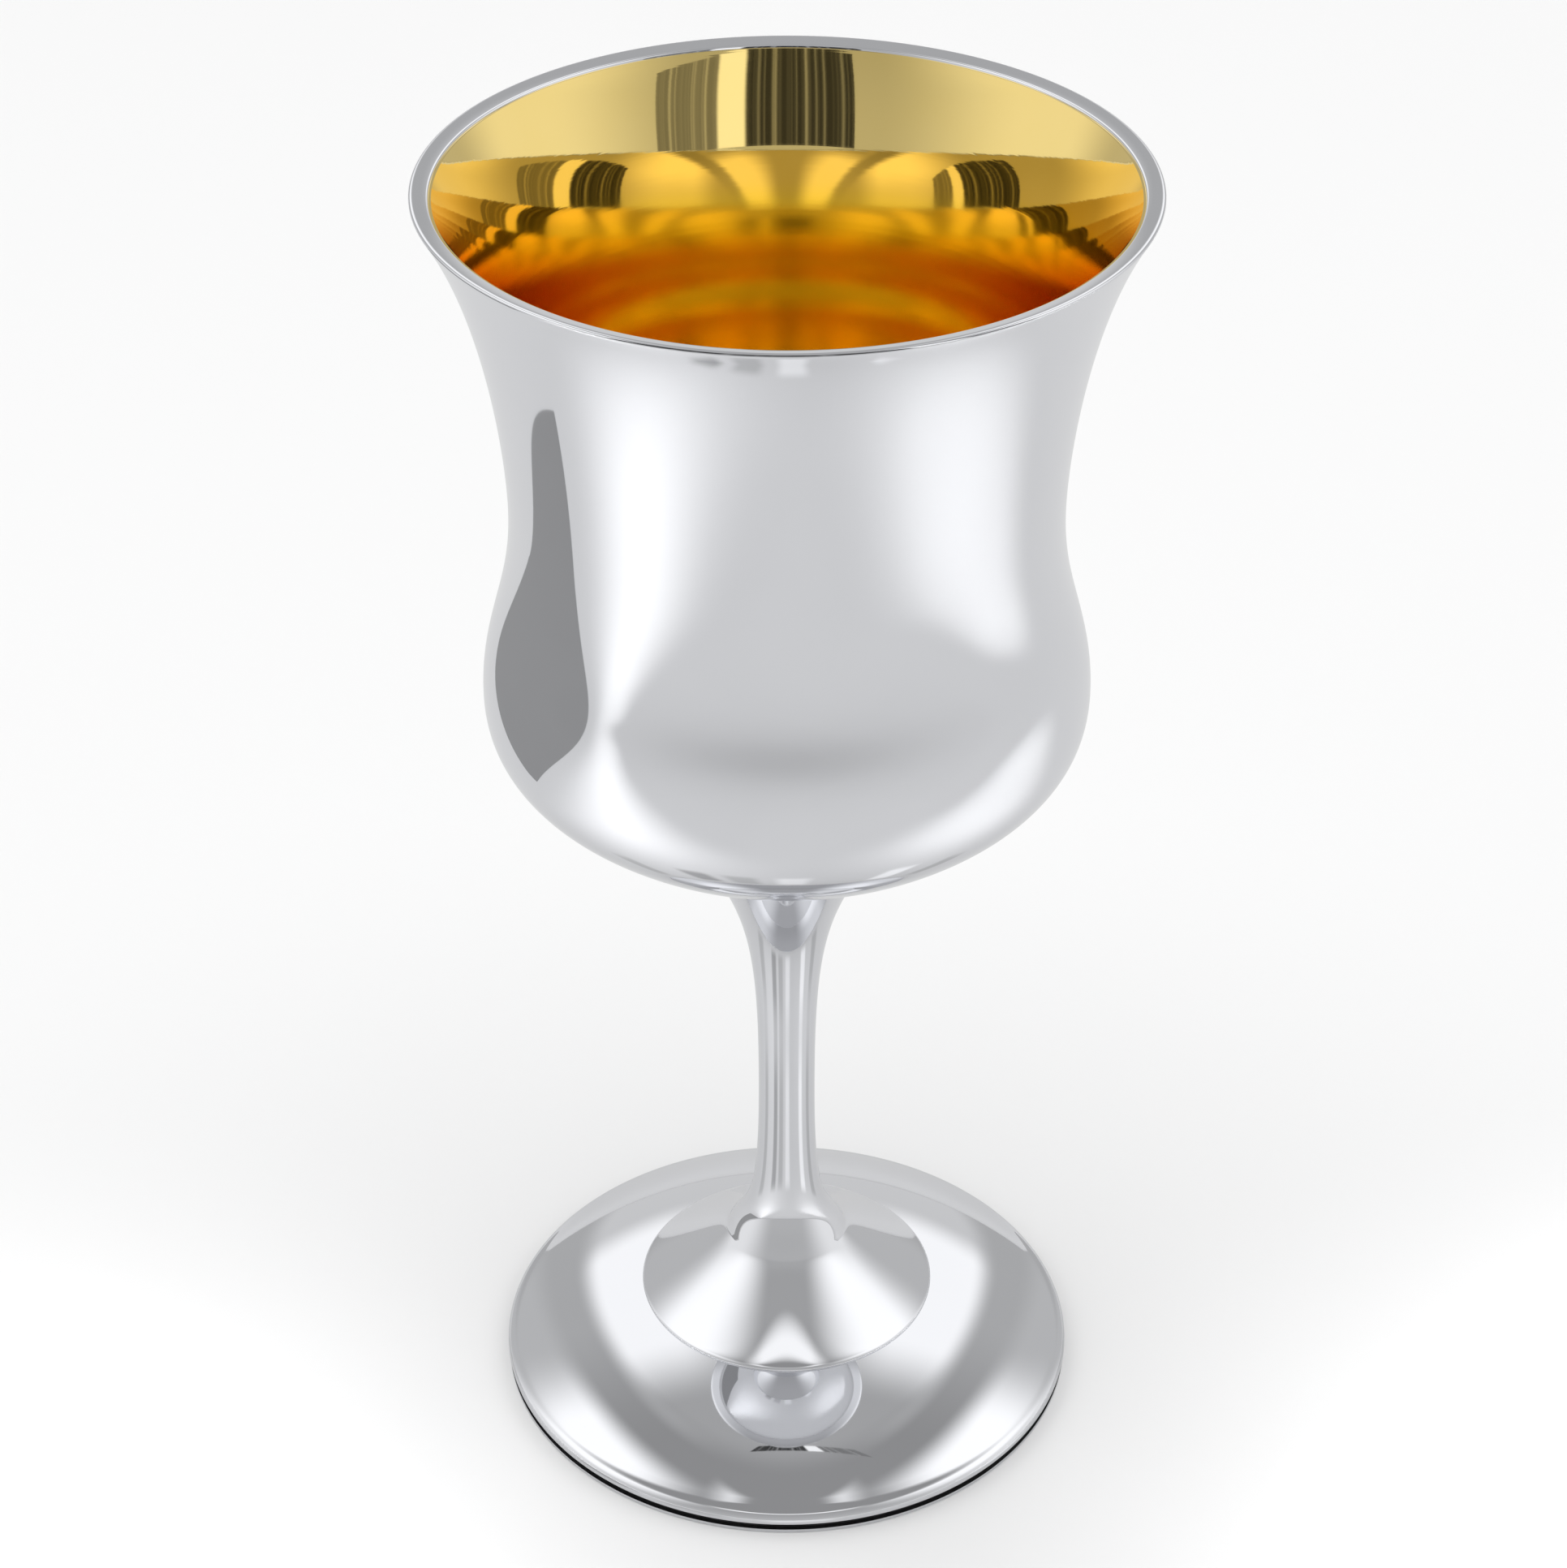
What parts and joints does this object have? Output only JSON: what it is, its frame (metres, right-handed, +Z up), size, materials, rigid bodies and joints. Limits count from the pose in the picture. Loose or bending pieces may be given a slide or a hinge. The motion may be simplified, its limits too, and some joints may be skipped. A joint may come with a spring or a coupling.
{
  "type": "communion chalice",
  "caption": "Communion chalice: a waisted silver cup with a gilt inside, on a slender flared stem and a low domed foot, held together by a hidden tie rod.",
  "frame": {"origin": "centre of the circle on which the foot stands, on the axis", "axes": "+Z up along the axis from the foot to the lip; the object is round, so X and Y have no preferred direction"},
  "size_m": [0.0815, 0.0814, 0.165],
  "materials": {
    "polished_silver": "mirror polished silver plate",
    "gilding": "polished gilding with fine spinning marks",
    "turned_brass": "turned, unpolished",
    "zinc_steel": "zinc plated"
  },
  "bodies": {
    "root": {"cup": "polished_silver", "gilt_lining": "gilding", "cup_boss": "turned_brass", "tie_rod": "zinc_steel", "stem": "polished_silver", "centring_bush": "turned_brass", "foot": "polished_silver", "base_ring": "polished_silver", "clamp_plate": "turned_brass", "flat_washer": "zinc_steel", "spring_washer": "zinc_steel", "nut": "zinc_steel"}
  },
  "joints": []
}
